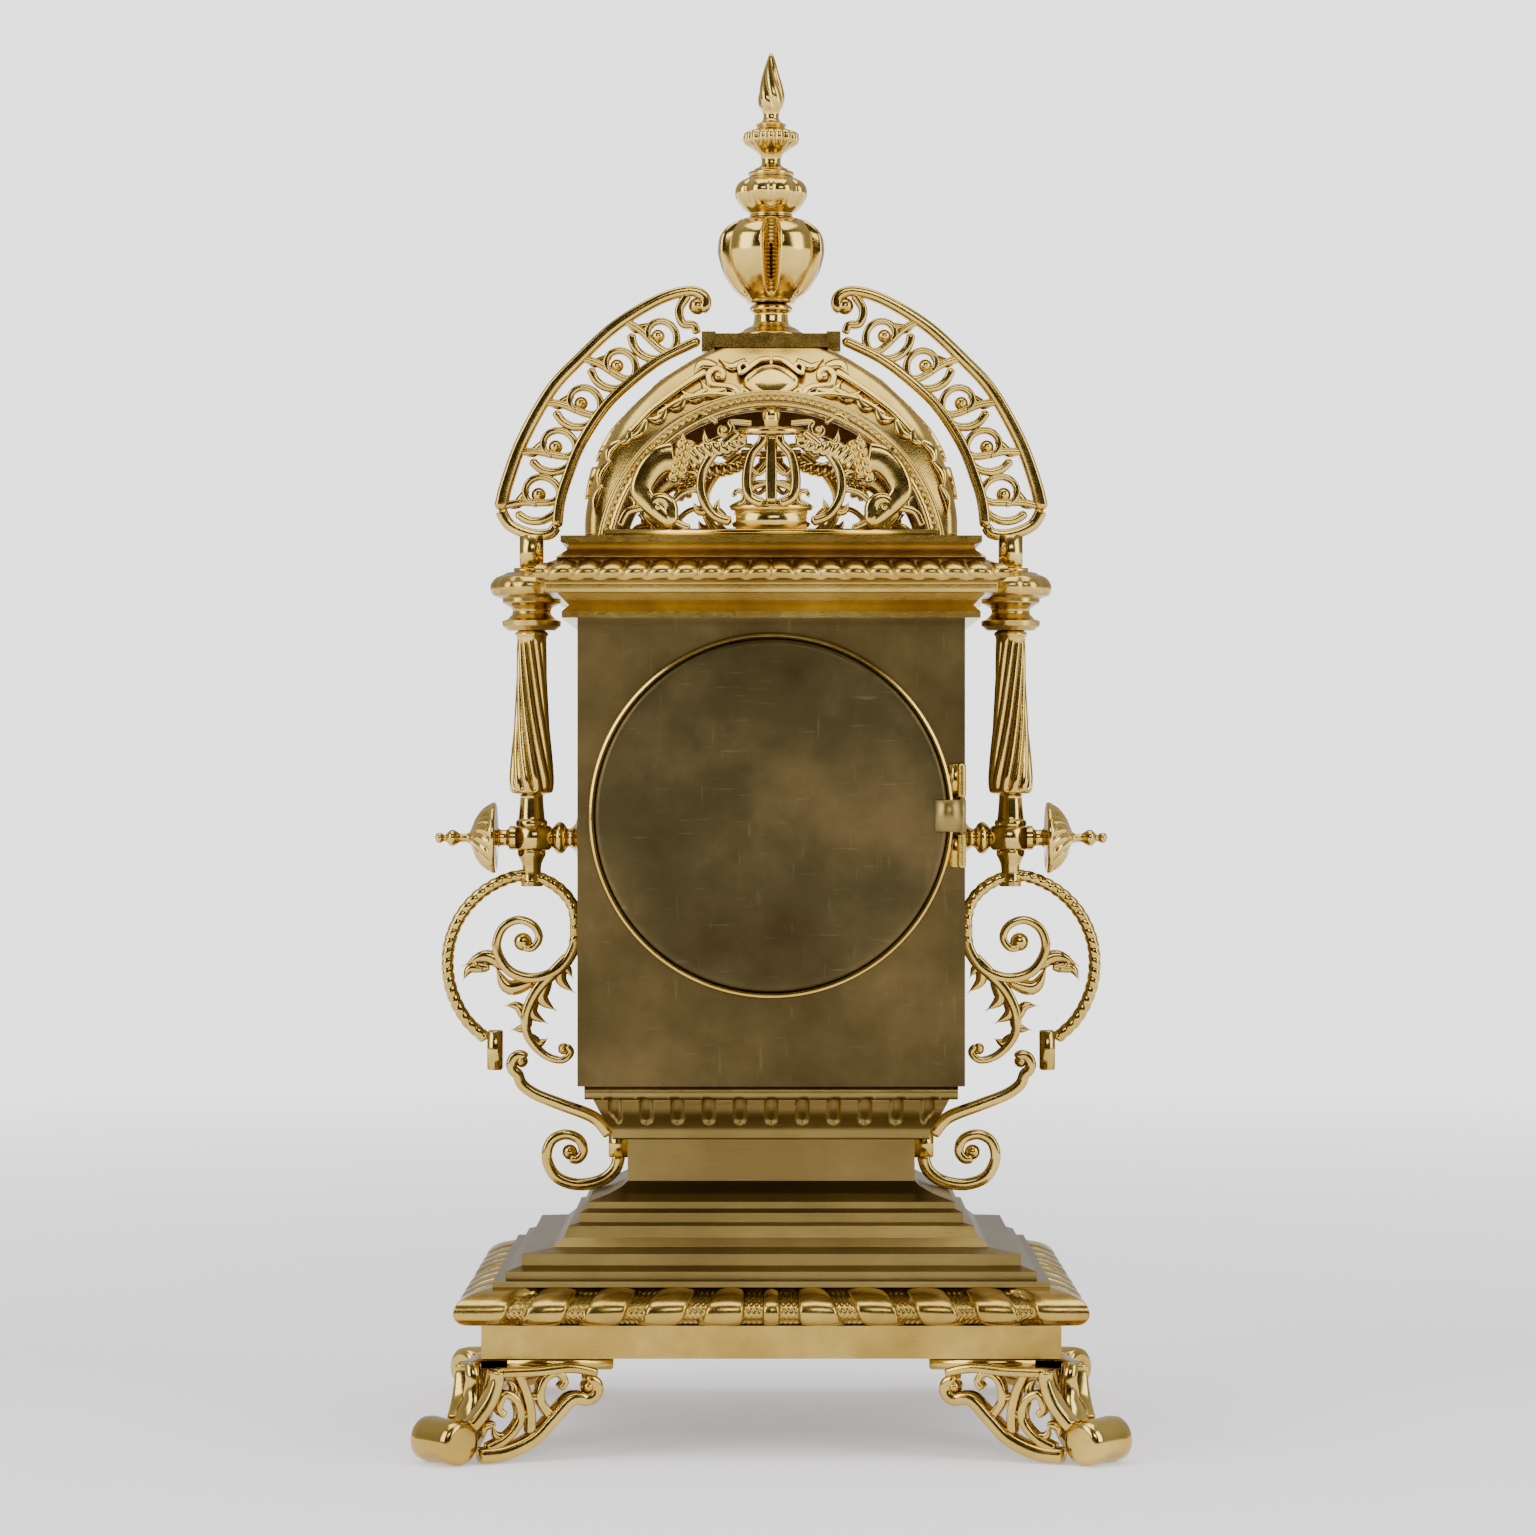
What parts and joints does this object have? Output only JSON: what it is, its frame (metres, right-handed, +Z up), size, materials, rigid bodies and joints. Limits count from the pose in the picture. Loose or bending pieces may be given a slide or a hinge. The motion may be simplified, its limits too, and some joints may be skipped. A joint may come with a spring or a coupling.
{
  "type": "mantel clock",
  "caption": "Gilt brass mantel clock on scroll feet: closed case with round rear door, side columns and scrolls, pierced dome and urn finial.",
  "frame": {"origin": "bottom centre, on the surface that the feet stand on", "axes": "+Z up, the rear door faces -Y, the dial faces +Y, +X to the right of someone facing the rear door"},
  "size_m": [0.2192, 0.1864, 0.4383],
  "materials": {
    "gilt_brass": "polished cast gilding",
    "brushed_brass": "satin brushed brass",
    "patina_brass": "dark mottled patina",
    "movement_brass": "lacquered brass",
    "blued_steel": "blued steel",
    "glass": "clear glass",
    "enamel": "white enamel with plain numerals",
    "bell_metal": "bell metal",
    "pendulum_brass": "polished brass"
  },
  "bodies": {
    "clock_case": {"base_apron": "gilt_brass", "base_gadroon_rim": "gilt_brass", "base_plinth": "brushed_brass", "bell": "bell_metal", "bell_stand": "gilt_brass", "case_floor_plate": "patina_brass", "case_front_plate": "patina_brass", "case_left_plate": "patina_brass", "case_rear_plate": "patina_brass", "case_right_plate": "patina_brass", "column_left": "gilt_brass", "column_right": "gilt_brass", "cornice_gadroon_rim": "gilt_brass", "cornice_lower_moulding": "gilt_brass", "cornice_upper_moulding": "gilt_brass", "crest_left": "gilt_brass", "crest_right": "gilt_brass", "dial": "enamel", "dome_cap_plate": "gilt_brass", "dome_shell": "gilt_brass", "finial_foot": "gilt_brass", "finial_knop": "gilt_brass", "finial_spire": "gilt_brass", "finial_urn": "gilt_brass", "fluted_collar": "gilt_brass", "foot_front_left": "gilt_brass", "foot_front_right": "gilt_brass", "foot_rear_left": "gilt_brass", "foot_rear_right": "gilt_brass", "lower_scroll_left": "gilt_brass", "lower_scroll_right": "gilt_brass", "lunette_front": "gilt_brass", "lunette_rear": "gilt_brass", "movement_back_plate": "movement_brass", "movement_front_plate": "movement_brass", "movement_pillars": "movement_brass", "movement_straps": "movement_brass", "pendulum_cock": "movement_brass", "pin_bracket_left": "gilt_brass", "pin_bracket_right": "gilt_brass", "rear_door_hinge_pin": "blued_steel", "rear_door_ring": "gilt_brass", "ring_scroll_left": "gilt_brass", "ring_scroll_right": "gilt_brass", "rosette_pin_left": "gilt_brass", "rosette_pin_right": "gilt_brass", "waist_block": "brushed_brass"},
    "rear_door": {"rear_door": "patina_brass"},
    "bezel": {"front_bezel": "gilt_brass", "front_glass": "glass"},
    "centre_arbor": {"centre_wheel": "movement_brass", "minute_hand": "blued_steel"},
    "hour_hand": {"hour_hand": "blued_steel"},
    "third_arbor": {"third_wheel": "movement_brass"},
    "escape_arbor": {"escape_wheel": "movement_brass"},
    "going_barrel": {"going_barrel": "movement_brass"},
    "strike_barrel": {"strike_barrel": "movement_brass"},
    "anchor": {"anchor": "blued_steel"},
    "pendulum": {"pendulum": "pendulum_brass"},
    "hammer": {"hammer": "blued_steel"}
  },
  "joints": [
    {"name": "rear_door_hinge", "type": "hinge", "parent": "clock_case", "child": "rear_door", "pos_m": [0.0589, -0.0469, 0.1945], "axis": [0, 0, 1], "range_deg": [0, 110]},
    {"name": "bezel_hinge", "type": "hinge", "parent": "clock_case", "child": "bezel", "pos_m": [0.0593, 0.047, 0.1945], "axis": [0, 0, -1], "range_deg": [0, 110]},
    {"name": "minute_turn", "type": "hinge", "parent": "clock_case", "child": "centre_arbor", "pos_m": [0, 0, 0.1945], "axis": [0, -1, 0], "continuous": true},
    {"name": "hour_turn", "type": "hinge", "parent": "clock_case", "child": "hour_hand", "pos_m": [0, 0, 0.1945], "axis": [0, -1, 0], "continuous": true},
    {"name": "third_turn", "type": "hinge", "parent": "clock_case", "child": "third_arbor", "pos_m": [0.02079, 0, 0.2065], "axis": [0, -1, 0], "continuous": true},
    {"name": "escape_turn", "type": "hinge", "parent": "clock_case", "child": "escape_arbor", "pos_m": [0, 0, 0.2185], "axis": [0, -1, 0], "continuous": true},
    {"name": "going_barrel_turn", "type": "hinge", "parent": "clock_case", "child": "going_barrel", "pos_m": [-0.0195, 0, 0.1852], "axis": [0, -1, 0], "continuous": true},
    {"name": "strike_barrel_turn", "type": "hinge", "parent": "clock_case", "child": "strike_barrel", "pos_m": [0.0195, 0, 0.1852], "axis": [0, -1, 0], "continuous": true},
    {"name": "pendulum_swing", "type": "hinge", "parent": "clock_case", "child": "pendulum", "pos_m": [0, -0.013, 0.2335], "axis": [0, -1, 0], "range_deg": [-4, 4]},
    {"name": "anchor_rock", "type": "hinge", "parent": "clock_case", "child": "anchor", "pos_m": [0, 0, 0.2335], "axis": [0, -1, 0], "range_deg": [-4, 4]},
    {"name": "hammer_swing", "type": "hinge", "parent": "clock_case", "child": "hammer", "pos_m": [-0.03, -0.03, 0.1695], "axis": [0, -1, 0], "range_deg": [-12, 7], "stiffness_Nm_per_rad": 0.2}
  ],
  "couplings": [
    {"joint": "hour_turn", "follows": "minute_turn", "ratio": 0.083333},
    {"joint": "third_turn", "follows": "minute_turn", "ratio": -4},
    {"joint": "escape_turn", "follows": "minute_turn", "ratio": 16},
    {"joint": "going_barrel_turn", "follows": "minute_turn", "ratio": -0.2},
    {"joint": "anchor_rock", "follows": "pendulum_swing", "ratio": 1}
  ]
}
